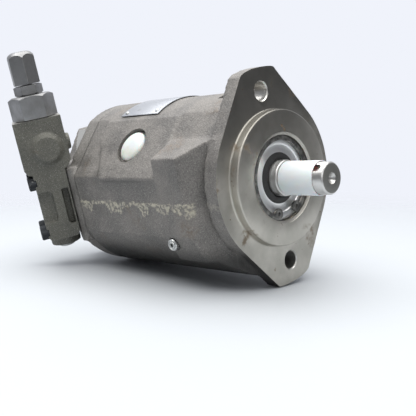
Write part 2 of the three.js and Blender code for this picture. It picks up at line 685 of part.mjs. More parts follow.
housing();
portPlate();
plateScrews();
shaftSeal();
retainingRing();
bearings();
driveShaft();
cylinderBlock();
pistonsAndSlippers();
retainer();
swashplate();
strokingPistons();
outerTrim();
valveBody();
valveScrews();
spoolAndSpring();
adjuster();

export default pump;
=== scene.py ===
import math

import bmesh
import bpy
from mathutils import Matrix, Vector, noise


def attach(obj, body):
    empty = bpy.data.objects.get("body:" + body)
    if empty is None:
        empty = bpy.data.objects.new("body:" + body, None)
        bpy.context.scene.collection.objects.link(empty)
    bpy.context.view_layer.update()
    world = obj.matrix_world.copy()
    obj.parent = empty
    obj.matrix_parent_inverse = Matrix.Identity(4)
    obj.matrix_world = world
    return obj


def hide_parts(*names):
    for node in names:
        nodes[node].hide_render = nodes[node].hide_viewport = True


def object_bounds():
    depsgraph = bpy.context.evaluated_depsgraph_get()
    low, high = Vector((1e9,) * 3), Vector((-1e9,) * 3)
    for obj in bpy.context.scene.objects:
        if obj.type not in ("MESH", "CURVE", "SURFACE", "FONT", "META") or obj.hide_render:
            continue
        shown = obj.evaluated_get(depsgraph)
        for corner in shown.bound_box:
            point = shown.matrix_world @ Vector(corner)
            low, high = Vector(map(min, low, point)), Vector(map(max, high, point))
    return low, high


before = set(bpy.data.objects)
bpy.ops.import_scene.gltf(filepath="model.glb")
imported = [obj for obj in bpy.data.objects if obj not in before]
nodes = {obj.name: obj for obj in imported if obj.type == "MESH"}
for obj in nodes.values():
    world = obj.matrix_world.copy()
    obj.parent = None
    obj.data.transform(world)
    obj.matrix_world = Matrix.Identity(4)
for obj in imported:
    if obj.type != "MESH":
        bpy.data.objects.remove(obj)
cad_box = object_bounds()
mm = 0.001

# Camera: a 61 mm lens at the drive end, on the control-valve side and a little above the shaft.
# It leans by the roll angle, because the pump lies over on its side while the frame stands upright.
azimuth, elevation, roll = math.radians(47.2), math.radians(13.68), math.radians(-11.5)
to_camera = Vector((math.sin(azimuth) * math.cos(elevation), -math.cos(azimuth) * math.cos(elevation),
                    math.sin(elevation)))
level_right = Vector((0, 0, 1)).cross(to_camera).normalized()
level_up = to_camera.cross(level_right)
camera_right = math.cos(roll) * level_right + math.sin(roll) * level_up
camera_up = math.cos(roll) * level_up - math.sin(roll) * level_right
camera_data = bpy.data.cameras.new("camera")
camera_data.sensor_width = 36
camera_data.lens = 61.32
camera = bpy.data.objects.new("camera", camera_data)
bpy.context.scene.collection.objects.link(camera)
camera.matrix_world = Matrix.Translation(
    (430.65 * to_camera - 41.58 * camera_right - 18.32 * camera_up) * mm
) @ Matrix((camera_right, camera_up, to_camera)).transposed().to_4x4()
bpy.context.scene.camera = camera
bpy.context.scene.view_settings.view_transform = "Standard"


# Floor: a plain pale sheet that the pump lies on, touching a corner of the flange and the rear of the
# case. It fades into the pale surroundings all round, so no horizon shows, and is clear from below.
class Wire:
    """One socket of a shader tree. Sums and products of wires add their Math nodes."""

    def __init__(self, tree, socket):
        self.tree = tree
        self.socket = socket

    def node(self, kind, inputs, output=0, stops=(), **settings):
        """Adds a node: settings first, then the values or links of its sockets."""
        made = self.tree.nodes.new(kind)
        for name, value in settings.items():
            setattr(made, name, value)
        if stops:
            ramp = made.color_ramp.elements
            while len(ramp) < len(stops):
                ramp.new(0.5)
            for element, (position, colour) in zip(ramp, stops):
                element.position = position
                element.color = colour
        for name, value in inputs.items():
            if isinstance(value, Wire):
                self.tree.links.new(value.socket, made.inputs[name])
            else:
                made.inputs[name].default_value = value
        return Wire(self.tree, made.outputs[output])

    def math(self, operation, first, second=0.0):
        """A Math node on two wires or numbers."""
        return self.node("ShaderNodeMath", {0: first, 1: second}, operation=operation)

    def __add__(self, other):
        return self.math("ADD", self, other)

    def __sub__(self, other):
        return self.math("SUBTRACT", self, other)

    def __rsub__(self, other):
        return self.math("SUBTRACT", other, self)

    def __mul__(self, other):
        return self.math("MULTIPLY", self, other)

    __radd__ = __add__
    __rmul__ = __mul__

    def step(self, low, high):
        """0 at low, 1 at high, and a smooth rise between them."""
        return self.node("ShaderNodeMapRange", {"Value": self, "From Min": low, "From Max": high},
                         interpolation_type="SMOOTHSTEP")

    def noise(self, scale, detail=2.0):
        """Cloudy noise on these coordinates, about 0.5 on average, with scale clouds to the metre."""
        return self.node("ShaderNodeTexNoise", {"Vector": self, "Scale": scale, "Detail": detail})

    def mix(self, first, second):
        """A colour that goes from first to second as this goes from 0 to 1."""
        return self.node("ShaderNodeMix", {0: self, 6: first, 7: second}, 2, data_type="RGBA")

    def parts(self):
        """The three coordinates of a vector."""
        split = self.tree.nodes.new("ShaderNodeSeparateXYZ")
        self.tree.links.new(self.socket, split.inputs[0])
        return [Wire(self.tree, output) for output in split.outputs]


def new_material(name, **constants):
    """A material, its shader node, and the object's own coordinates as a wire."""
    made = bpy.data.materials.new(name)
    made.use_nodes = True
    shader = made.node_tree.nodes["Principled BSDF"]
    for socket, value in constants.items():
        shader.inputs[socket.replace("_", " ")].default_value = value
    source = made.node_tree.nodes.new("ShaderNodeTexCoord")
    return made, shader, Wire(made.node_tree, source.outputs["Object"])


def feed(shader, **wires):
    """Links wires to the shader's sockets of the same names."""
    for socket, wire in wires.items():
        wire.tree.links.new(wire.socket, shader.inputs[socket.replace("_", " ")])


def bumps(height, distance, strength=1.0):
    """The surface direction that a height pattern gives, its full height being the distance."""
    return height.node("ShaderNodeBump", {"Height": height, "Distance": distance, "Strength": strength})


def mesh_object(name, points, faces):
    """An object in the scene with a plain mesh."""
    mesh = bpy.data.meshes.new(name)
    mesh.from_pydata([tuple(p) for p in points], [], faces)
    mesh.update()
    made = bpy.data.objects.new(name, mesh)
    bpy.context.scene.collection.objects.link(made)
    return made


up = (math.cos(math.radians(6.9)) * camera_up + math.sin(math.radians(6.9)) * to_camera).normalized()
lowest = min(up.dot(v.co) for node in nodes.values() for v in node.data.vertices)
middle = Vector((-0.07, 0, 0))
middle += up * (lowest - 0.0002 - up.dot(middle))
across = up.cross(Vector((1, 0, 0))).normalized()
along = across.cross(up)
floor = mesh_object("floor", [middle + a * along + b * across
                              for a, b in ((-3, -3), (3, -3), (3, 3), (-3, 3))], [(0, 1, 2, 3)])
paper, paper_shader, here = new_material("pale_floor", Roughness=0.6)
paper_shader.inputs["Base Color"].default_value = (0.50, 0.525, 0.55, 1)
offset = here.node("ShaderNodeVectorMath", {0: here, 1: middle}, operation="SUBTRACT")
distance = offset.node("ShaderNodeVectorMath", {0: offset}, "Value", operation="LENGTH")
clear = distance.tree.nodes.new("ShaderNodeBsdfTransparent")
under = Wire(distance.tree, distance.tree.nodes.new("ShaderNodeNewGeometry").outputs["Backfacing"])
far = distance.step(0.20, 0.62)
blended = distance.node("ShaderNodeMixShader", {
    0: far.math("MAXIMUM", far, under), 1: Wire(distance.tree, paper_shader.outputs[0]),
    2: Wire(distance.tree, clear.outputs[0])})
distance.tree.links.new(blended.socket, distance.tree.nodes["Material Output"].inputs["Surface"])
floor.data.materials.append(paper)


# Studio light: one wide soft light overhead, a weaker one on the drive side, and surroundings that are
# pale behind the pump and dim elsewhere, as in a room with a white sweep on one side.
def soft_light(name, position, size, power, colour=(1, 1, 1)):
    lamp = bpy.data.lights.new(name, "AREA")
    lamp.shape = "DISK"
    lamp.size = size
    lamp.energy = power
    lamp.color = colour
    made = bpy.data.objects.new(name, lamp)
    bpy.context.scene.collection.objects.link(made)
    made.location = position
    made.rotation_mode = "QUATERNION"
    made.rotation_quaternion = (middle - Vector(position)).to_track_quat("-Z", "Y")
    return made


soft_light("overhead", middle + up * 1.0 - across * 0.1, 1.7, 25, (1, 0.99, 0.97))
soft_light("drive_side", middle + up * 0.35 + camera_right * 0.35 + to_camera * 1.0, 0.7, 1.5)
world = bpy.data.worlds.new("surroundings")
bpy.context.scene.world = world
world.use_nodes = True
sky = world.node_tree
sky.nodes.clear()
outlook = Wire(sky, sky.nodes.new("ShaderNodeTexCoord").outputs["Generated"])
backdrop = (-to_camera - 0.3 * camera_right).normalized()
facing = outlook.node("ShaderNodeVectorMath", {0: outlook, 1: backdrop}, "Value", operation="DOT_PRODUCT")
height = outlook.node("ShaderNodeVectorMath", {0: outlook, 1: up}, "Value", operation="DOT_PRODUCT")
glow = 0.17 + 0.75 * facing.step(-0.1, 0.75) + 0.25 * height.step(0.2, 0.9)
seen = Wire(sky, sky.nodes.new("ShaderNodeLightPath").outputs["Is Camera Ray"])
level = seen.node("ShaderNodeMix", {0: seen, 2: glow, 3: 1.0}, 0, data_type="FLOAT")
background = sky.nodes.new("ShaderNodeBackground")
background.inputs["Color"].default_value = (0.871, 0.896, 0.965, 1)
sky.links.new(level.socket, background.inputs["Strength"])
sky.links.new(background.outputs[0], sky.nodes.new("ShaderNodeOutputWorld").inputs["Surface"])


# Case: one grey-iron sand casting that holds the rotating group and carries the two-bolt flange. The
# skin is left as cast, with rounded corners, sand grain and a line of flash where the mould halves met.
# The flange face, pilot, bores and rear joint are then machined, so their edges are sharp.
def prism(name, outline, axis, low, high):
    """A closed prism along axis 0, 1 or 2, from outline points in the other two axes' order."""
    count = len(outline)
    points = []
    for level_at in (low, high):
        for pair in outline:
            point = list(pair)
            point.insert(axis, level_at)
            points.append([value * mm for value in point])
    sides = [(i, (i + 1) % count, count + (i + 1) % count, count + i) for i in range(count)]
    made = mesh_object(name, points, sides + [range(count), range(count, 2 * count)])
    return outward(made)


def turned(name, profile, axis=0, centre=(0, 0), count=96, looped=False):
    """A solid turned about a line along an axis, from profile points (place along it, radius)."""
    points, rings = [], []
    for place, radius in profile:
        ring = []
        for i in range(count if radius > 1e-6 else 1):
            angle = 2 * math.pi * i / count
            point = [centre[0] + radius * math.cos(angle), centre[1] + radius * math.sin(angle)]
            point.insert(axis, place)
            ring.append(len(points))
            points.append([value * mm for value in point])
        rings.append(ring)
    faces = []
    for one, two in zip(rings, rings[1:] + (rings[:1] if looped else [])):
        for i in range(count):
            corners = [one[i % len(one)], one[(i + 1) % len(one)], two[(i + 1) % len(two)], two[i % len(two)]]
            corners = list(dict.fromkeys(corners))
            if len(corners) > 2:
                faces.append(corners)
    return outward(mesh_object(name, points, faces))


def outward(piece):
    """Turns every face of a closed mesh outward."""
    work = bmesh.new()
    work.from_mesh(piece.data)
    bmesh.ops.recalc_face_normals(work, faces=work.faces)
    work.to_mesh(piece.data)
    work.free()
    return piece


def bake(piece):
    """Makes what the modifiers give the piece's own mesh, and clears them."""
    graph = bpy.context.evaluated_depsgraph_get()
    made = bpy.data.meshes.new_from_object(piece.evaluated_get(graph))
    piece.modifiers.clear()
    piece.data = made


def carve(body, tools, operation="DIFFERENCE"):
    """Cuts tools from the body, or joins or keeps what they share. The tools are used up."""
    for tool in tools:
        cut = body.modifiers.new("cut", "BOOLEAN")
        cut.object = tool
        cut.operation = operation
        cut.solver = "MANIFOLD"
        bake(body)
        bpy.data.objects.remove(tool)
    return body


def arc(centre, radius, start, end, count):
    """Points round an arc, with angles in degrees."""
    angles = [math.radians(start + (end - start) * i / count) for i in range(count + 1)]
    return [(centre[0] + radius * math.cos(a), centre[1] + radius * math.sin(a)) for a in angles]


def mirrored(outline):
    return [(-a, b) for a, b in outline]


def push(body, amount):
    """Moves each point of the surface outward by amount(place, direction), in millimetres."""
    directions = [normal.vector.copy() for normal in body.data.vertex_normals]
    for vertex, direction in zip(body.data.vertices, directions):
        vertex.co += direction * (amount(vertex.co / mm, direction) * mm)


def cast_skin(body, voxel, rounds, depth):
    """Rounds a rough block's corners as a mould does, and leaves its skin a little uneven."""
    shell = body.modifiers.new("skin", "REMESH")
    shell.mode = "VOXEL"
    shell.voxel_size = voxel * mm
    ease = body.modifiers.new("ease", "SMOOTH")
    ease.factor = 0.5
    ease.iterations = rounds
    bake(body)
    push(body, lambda place, direction: depth * (noise.noise(place * 0.09) + 0.5 * noise.noise(place * 0.32)))
    return body


def case_outline(inset=0.0):
    """Across the shaft: a crowned top, sloping shoulders, flat sides and a round underside."""
    side, total = 56 - inset, 72 - inset * math.sqrt(2)
    corner = math.degrees(math.atan2(total - 24.5, 24.5))
    below = math.degrees(math.acos(side / (60.2 - inset)))
    crown = arc((0, 0), 54 - inset, corner, 180 - corner, 24)
    belly = arc((0, 0), 60.2 - inset, 180 + below, 360 - below, 60)
    return crown + [(-side, total - side)] + belly + [(side, total - side)]


def flange_outline():
    """Two tips joined to a round waist by straight sides, the same again after half a turn."""
    right, left = (15.6, 64.2), (-17, 62.6)
    from_right = math.degrees(math.atan2(right[1], right[0]) - math.acos(52 / math.hypot(*right)))
    from_left = math.degrees(math.atan2(left[1], left[0]) + math.acos(52 / math.hypot(*left)))
    tip = arc((0, 0), 67.2, math.degrees(math.atan2(64.8, 14.6)), math.degrees(math.atan2(65.6, -11.5)), 10)
    waist = arc((0, 0), 52, from_left, 180 + from_right, 16)
    half = [right] + tip + [(-14.4, 65.2), (-16.1, 64.1), left] + waist
    return half + [(-y, -z) for y, z in half]


joint_x, bolt_reach, pilot_radius = -130, 53.2, 41.275
screw_places = [(31.2, 31.2), (-31.2, 31.2), (28, -40.5), (-28, -40.5)]
case = prism("pump_case", case_outline(), 0, -133, -6)
upper_boss = [(-57.2, 0), (-57.2, 27.5), (-35, 36), (-30, 30), (-30, 0)]
lower_boss = [(-57.2, 0), (-30, 0), (-30, -38), (-50.5, -38.6), (-57.2, -21)]
carve(case, [prism("boss", shape, 0, -45, -6) for shape in
             (upper_boss, lower_boss, mirrored(upper_boss), mirrored(lower_boss))], "UNION")
taper = [(-133, -62), (-24, -62), (-24, -57.2), (-10, -40), (-5, -40), (-5, 40), (-10, 40), (-24, 57.2),
         (-24, 62), (-133, 62)]
carve(case, [prism("taper", taper, 2, -90, 90)], "INTERSECT")
pad = prism("pad", [(-26.5, 47.5), (-58, 16), (-58.6, 14.2), (-54, 13.2), (-30, 30)], 0, -117, -45.2)
carve(pad, [prism("corner", [(-120, 8), (-96, 8), (-108, 27), (-120, 40)], 1, -70, -20)])
carve(case, [pad, prism("flange", flange_outline(), 0, -10, 2.5)], "UNION")
cast_skin(case, 1.0, 5, 0.12)


def flash_ridge(place, direction):
    """How far the flash stands out along the parting line on both flat sides."""
    if abs(place.y) < 50 or not -127 < place.x < -9 or abs(direction.y) < 0.6:
        return 0
    ragged = noise.noise(Vector((place.x * 0.35, 7, place.z * 0.2)))
    return 0.35 * min(1, 1.6 * max(0, 1 - abs(place.z + 1.6) / (1.9 + ragged)))


push(case, flash_ridge)
carve(case, [prism("face", [(-80, -80), (80, -80), (80, 80), (-80, 80)], 0, 0, 9),
             prism("joint", [(-80, -80), (80, -80), (80, 80), (-80, 80)], 0, -140, joint_x)])
pilot = [(-3, 0), (-3, 42.2), (0, 42.2), (0.25, 41.75), (0.7, 41.4), (1.2, pilot_radius),
         (5.45, pilot_radius), (5.75, 41.2), (6.15, 40.8), (6.35, 40.4), (6.35, 0)]
carve(case, [turned("pilot", pilot, count=160)], "UNION")
seal_bore = [(9, 0), (9, 30.3), (6.0, 27.3), (5.5, 26.2), (5.35, 26), (5.15, 26), (5.15, 27.2), (3.05, 27.2),
             (3.05, 26), (-25, 26), (-25, 20), (-45, 20), (-45, 0)]
carve(case, [turned("seal_bore", seal_bore, count=128)])
hollow = carve(
    prism("hollow", arc((-67, 0), 38.4, -90, 90, 40) + [(-71, 38.4), (-71, -38.4)], 1, -36.5, 36.5),
    [turned("within", [(-72, 0), (-72, 43), (-20, 43), (-20, 0)])], "INTERSECT")
seat = arc((-67, 0), 36.6, -50, 50, 20) + arc((-67, 0), 40.4, 50, -50, 14)
carve(hollow, [prism("seat", seat, 1, 17.8, 29.3), prism("seat", seat, 1, -29.3, -17.8)])
carve(hollow, [turned("barrel", [(-131, 0), (-131, 38.2), (-67, 38.2), (-67, 0)]),
               prism("top_pocket", [(-80, 30), (-38, 30), (-38, 49), (-80, 49)], 1, -6.5, 6.5),
               prism("low_pocket", [(-82, -55.3), (-49, -55.3), (-49, -30), (-82, -30)], 1, -7.8, 7.8),
               turned("bias_bore", [(-127, 0), (-127, 4.7), (-79, 4.7), (-79, 0)], 0, (0, 44.2), 32),
               turned("control_bore", [(-116, 0), (-116, 6.9), (-81, 6.9), (-81, 0)], 0, (0, -47), 40)],
      "UNION")
carve(case, [hollow])
bolt_hole = [(-11, 0), (-11, 5.55), (-0.7, 5.55), (0.6, 6.8), (0.6, 0)]
bolt_pocket = [(-26, 0), (-26, 10.6), (-10, 10.6), (-10, 0)]
carve(case, [turned("hole", shape, 0, (0, z), 48)
             for z in (bolt_reach, -bolt_reach) for shape in (bolt_hole, bolt_pocket)])
carve(case, [turned("tapped", [(-131, 0), (-131, 4.9), (-130, 4.9), (-129.5, 4.4), (-108, 4.4), (-108, 0)],
                    0, place, 32) for place in screw_places])
drain_place = Matrix.Translation(Vector((-80, -4, -4)) * mm) @ Matrix.Rotation(math.radians(45), 4, "X")
for profile in ([(30, 0), (30, 8), (60, 8), (60, 0)], [(48.9, 0), (48.9, 12.6), (60, 12.6), (60, 0)]):
    drain_bore = turned("drain_bore", profile, 2, (0, 0), 64)
    drain_bore.data.transform(drain_place)
    carve(case, [drain_bore])
carve(case, [turned("gauge_bore", [(-60, 0), (-60, 4.6), (-56.2, 4.6), (-56.2, 4.2), (-46, 4.2), (-46, 0)],
                    1, (-41, -26), 40)])


def cast_iron(name, light, dark, metallic, flash=False):
    """Sand-cast iron: mottled grey and gritty. With flash, it also has the pale line of flash, and is
    made darker underneath: that is no finish of the iron, but stands in for deeper shade below."""
    made, shader, here = new_material(name, Metallic=metallic)
    shader.inputs["IOR"].default_value = 1.7
    patches = here.noise(55, 4).step(0.32, 0.68)
    grain = here.noise(1050, 3)
    grit = here.node("ShaderNodeTexVoronoi", {"Vector": here, "Scale": 850}, "Distance")
    colour = (patches * 0.45 + (grain - 0.35) * 1.3).mix(dark, light)
    # Painted glints: scattered pale specks stand in for light caught by grains of the iron.
    painted_glints = here.noise(2100, 1).step(0.60, 0.78)
    colour = (painted_glints * 0.5).mix(colour, (0.62, 0.60, 0.57, 1))
    pits = grit.step(0.0, 0.32)
    colour = ((1 - pits) * 0.55).mix(colour, (0.05, 0.048, 0.045, 1))
    rust = (here.noise(38, 5).step(0.58, 0.72) * 0.6) * here.noise(600, 2).step(0.4, 0.6)
    colour = rust.mix(colour, (0.16, 0.115, 0.075, 1))
    relief = grain * 0.75 + pits * 0.35 + here.noise(300, 2) * 0.9
    rough = 0.40 + 0.22 * patches + 0.16 * grain
    if flash:
        x, y, z = here.parts()
        # Painted shade: the case is darkened towards the bottom, standing in for shade under the belly.
        painted_shade_below = (z + 0.004 * here.noise(60, 3)).step(-0.022, -0.040) * 0.86
        colour = painted_shade_below.mix(colour, (0.012, 0.0115, 0.010, 1))
        wander = here.node("ShaderNodeTexNoise", {"W": x * 130, "Scale": 1.0, "Detail": 4.0},
                           noise_dimensions="1D")
        drip = here.node("ShaderNodeTexNoise", {"W": x * 60 + 40.0, "Scale": 1.0, "Detail": 5.0},
                         noise_dimensions="1D").step(0.35, 0.78)
        top = z - 0.0045 * (wander - 0.5) + 0.0012 * (here.noise(900, 2) - 0.5)
        crust = top.step(0.0002, -0.0008) * (top + 0.0075 * drip + 0.0016).step(-0.0016, -0.0003)
        beyond = (y * y).step(0.051 * 0.051, 0.0535 * 0.0535)
        crust = crust * beyond * here.noise(500, 3).step(0.38, 0.62) * 0.85
        colour = crust.mix(colour, (0.58, 0.545, 0.44, 1))
        rough = rough + 0.25 * crust
        relief = relief + 1.2 * crust * here.noise(700, 2)
    feed(shader, Base_Color=colour, Roughness=rough, Normal=bumps(relief, 0.30 * mm, 0.9))
    return made


def machined(name, light, dark, roughness=0.28, stains=0.0, rings=0.6, dim_above=0.0):
    """Turned metal: fine rings round the shaft axis, faint clouds, and stains where asked for. The dim
    part above is no finish of the metal, but stands in for a darker room mirrored in it."""
    made, shader, here = new_material(name, Metallic=0.92)
    x, y, z = here.parts()
    squares = y * y + z * z
    radius = squares.math("SQRT", squares)
    lines = here.node("ShaderNodeTexNoise", {"W": radius * 2600 + x * 2600, "Scale": 1.0, "Detail": 3.0},
                      noise_dimensions="1D")
    clouds = here.noise(70, 4)
    colour = (clouds.step(0.3, 0.7) * 0.6 + lines * 0.4).mix(dark, light)
    rough = roughness + 0.14 * clouds + 0.10 * lines
    if dim_above:
        colour = (z.step(0.0, 0.052) * dim_above).mix(colour, (0.09, 0.088, 0.082, 1))
    if stains:
        blots = here.noise(62, 5).step(0.58, 0.70) * here.noise(260, 3).step(0.36, 0.58)
        specks = here.noise(230, 2).step(0.70, 0.76)
        soiled = (blots + specks).math("MINIMUM", blots + specks, 1.0) * stains
        colour = soiled.mix(colour, (0.16, 0.105, 0.055, 1))
        rough = rough + 0.3 * soiled
        metal = 0.92 - 0.5 * soiled
        feed(shader, Metallic=metal)
    feed(shader, Base_Color=colour, Roughness=rough, Normal=bumps(lines, 0.012 * mm, rings))
    return made


case_iron = cast_iron("case_iron", (0.285, 0.268, 0.248, 1), (0.10, 0.095, 0.088, 1), 0.35, flash=True)
face_iron = machined("flange_face_iron", (0.60, 0.575, 0.52, 1), (0.40, 0.385, 0.34, 1), 0.27, stains=0.75,
                     dim_above=0.75)
bore_iron = machined("bore_iron", (0.62, 0.61, 0.58, 1), (0.45, 0.44, 0.41, 1), 0.24)
case.data.materials.clear()
for material in (case_iron, face_iron, bore_iron):
    case.data.materials.append(material)
for face in case.data.polygons:
    at, turn = face.center / mm, face.normal
    reach = math.hypot(at.y, at.z)
    face.material_index = 0
    if at.x > -0.05 or (at.x < -129.9 and turn.x < -0.9):
        face.material_index = 1
    elif reach < 42.9 and (at.x > -46 or turn.x > -0.5) and not (abs(at.y) > 50):
        face.material_index = 2
    elif abs(reach - bolt_reach) < 7 and abs(at.y) < 6 and -11 < at.x < 0:
        face.material_index = 2


def fit(piece, body, slot, *replaced, angle=32, materials=()):
    """Gives a finished piece its materials and shading, keeps it within the part's box, hangs it from its
    body's empty, and hides the CAD parts that it stands for."""
    if materials:
        piece.data.materials.clear()
    for made in materials:
        piece.data.materials.append(made)
    for vertex in piece.data.vertices:
        vertex.co = [min(max(value, low), high) for value, low, high in zip(vertex.co, *cad_box)]
    piece.data.shade_smooth()
    piece.data.set_sharp_from_angle(angle=math.radians(angle))
    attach(piece, body)
    if replaced:
        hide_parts(*replaced)


fit(case, "case", "cast_case", "pump_housing")


# Port plate: the cast rear cover with the suction and delivery ports, a lobe on one side that the
# control valve bolts to, and deep pockets for its four screws. Its joint face and ports are machined.
plate_step, plate_rear, screw_seat, port_x, suction_y, delivery_y = -143, -181, -135.2, -161, 8.5, -7
cover = prism("pump_cover", case_outline(0.2), 0, plate_step, -129)
carve(cover, [prism("rear", [(-27, -39), (-25, -41), (25, -41), (27, -39), (27, 39), (25, 41), (-9.8, 41),
                             (-27, 19)], 0, plate_rear, -141),
              prism("lobe", [(-133, -55.8), (-138.24, -55.8), (-164.05, -40.9), (-168, -33), (-172, -20),
                             (-133, -20)], 2, -31, 22)], "UNION")
carve(cover, [turned("pocket", [(-190, 0), (-190, 7.2), (plate_step, 7.2), (plate_step, 0)], 0, place, 48)
              for place in screw_places])
cast_skin(cover, 1.0, 3, 0.1)
valve_turn = Matrix.Translation(Vector((-137.2, -56.4, 0)) * mm) @ Matrix.Rotation(math.radians(-30), 4, "Z")
seat_cut = prism("seat_cut", [(-41, -20), (5, -20), (5, 0), (-41, 0)], 2, -32, 23)
seat_cut.data.transform(valve_turn)
kidney = arc((0, 0), 29.4, -48, 48, 24) + arc((0, 0), 22.6, 48, -48, 20)
carve(cover, [seat_cut, prism("joint", [(-80, -80), (80, -80), (80, 80), (-80, 80)], 0, -130.9, -120),
              prism("kidney", kidney, 0, -139, -130), prism("kidney", mirrored(kidney), 0, -139, -130),
              turned("link", [(port_x, 0), (port_x, 5.4), (-138, 5.4), (-138, 0)], 0, (20, 14), 32),
              turned("link", [(port_x, 0), (port_x, 5.4), (-138, 5.4), (-138, 0)], 0, (-20, -14), 32),
              turned("suction", [(5, 0), (5, 12.5), (20, 12.5), (20, 15.8), (39.6, 15.8), (41.6, 17.8),
                                 (41.6, 0)], 2, (port_x, suction_y), 72),
              turned("delivery", [(-5, 0), (-5, 10.5), (-22, 10.5), (-22, 12.8), (-39.8, 12.8), (-41.6, 14.6),
                                  (-41.6, 0)], 2, (port_x, delivery_y), 72),
              turned("bearing_seat", [(-146.5, 0), (-146.5, 16.6), (-130, 16.6), (-130, 0)], 0, (0, 0), 64)])
screw_hole = [(-190, 0), (-190, 6.5), (screw_seat, 6.5), (screw_seat, 4.5), (-129, 4.5), (-129, 0)]
carve(cover, [turned("screw_hole", screw_hole, 0, place, 48) for place in screw_places])
valve_screw_places = [(-5, 16.5), (-24, 16.5), (-5, -19), (-24, -19)]
for place in valve_screw_places:
    tapped = turned("tapped", [(-1, 0), (-1, 3.3), (14, 3.3), (14, 0)], 1, place, 24)
    tapped.data.transform(valve_turn)
    carve(cover, [tapped])
cover_iron = cast_iron("cover_iron", (0.30, 0.285, 0.265, 1), (0.11, 0.104, 0.096, 1), 0.35)
cover.data.materials.clear()
cover.data.materials.append(cover_iron)
cover.data.materials.append(bore_iron)
for face in cover.data.polygons:
    at = face.center / mm
    by_port = any(abs(math.hypot(at.x - port_x, at.y - y) - 14) < 4.2 for y in (suction_y, delivery_y))
    in_port = by_port and abs(at.z) > 5
    deepest = at.x > -131 or (in_port and abs(face.normal.z) < 0.8)
    face.material_index = 1 if deepest else 0
fit(cover, "case", "cast_port_plate", "port_plate")

# Joint gasket: a coated steel sheet half a millimetre thick, nipped between case and port plate. Only
# its dark edge shows.
gasket_dark, gasket_shader, here = new_material("gasket_dark", Metallic=0.3)
feed(gasket_shader, Base_Color=here.noise(400, 3).mix((0.012, 0.012, 0.012, 1), (0.05, 0.047, 0.04, 1)),
     Roughness=0.55 + 0.2 * here.noise(900, 2))


def refinish(material, *names):
    """Gives CAD pieces whose shape is already right their own finish."""
    for name in names:
        nodes[name].data.materials.clear()
        nodes[name].data.materials.append(material)


refinish(gasket_dark, "port_plate_gasket")

# Socket-head cap screws, blackened: four M8 hold the port plate from the rear, four M6 the control
# valve. Each head has a rounded rim, a knurled side and a hexagon socket.
def tree_of(name, sizes):
    """A Geometry Nodes tree with a mesh of places in, a mesh out and one named number for each size."""
    tree = bpy.data.node_groups.new(name, "GeometryNodeTree")
    tree.interface.new_socket("Geometry", in_out="INPUT", socket_type="NodeSocketGeometry")
    tree.interface.new_socket("Geometry", in_out="OUTPUT", socket_type="NodeSocketGeometry")
    for size in sizes:
        tree.interface.new_socket(size, in_out="INPUT", socket_type="NodeSocketFloat")
    return tree, tree.nodes.new("NodeGroupInput"), tree.nodes.new("NodeGroupOutput")


def link(tree, source, output, target, entry):
    tree.links.new(source.outputs[output], target.inputs[entry])


def number(tree, operation, first, second):
    """A Math node in a Geometry Nodes tree, from sockets or plain numbers."""
    made = tree.nodes.new("ShaderNodeMath")
    made.operation = operation
    for entry, value in enumerate((first, second)):
        if isinstance(value, bpy.types.NodeSocket):
            tree.links.new(value, made.inputs[entry])
        else:
            made.inputs[entry].default_value = value
    return made.outputs[0]


def cylinder(tree, sides, radius, depth):
    """A cylinder with its foot in the plane of the places and its length along Z."""
    made = tree.nodes.new("GeometryNodeMeshCylinder")
    made.inputs["Vertices"].default_value = sides
    tree.links.new(radius, made.inputs["Radius"])
    tree.links.new(depth, made.inputs["Depth"])
    return made


def moved(tree, source, height):
    """The geometry moved along Z."""
    shift = tree.nodes.new("ShaderNodeCombineXYZ")
    tree.links.new(height, shift.inputs["Z"])
    made = tree.nodes.new("GeometryNodeTransform")
    tree.links.new(source, made.inputs["Geometry"])
    tree.links.new(shift.outputs[0], made.inputs["Translation"])
    return made.outputs[0]


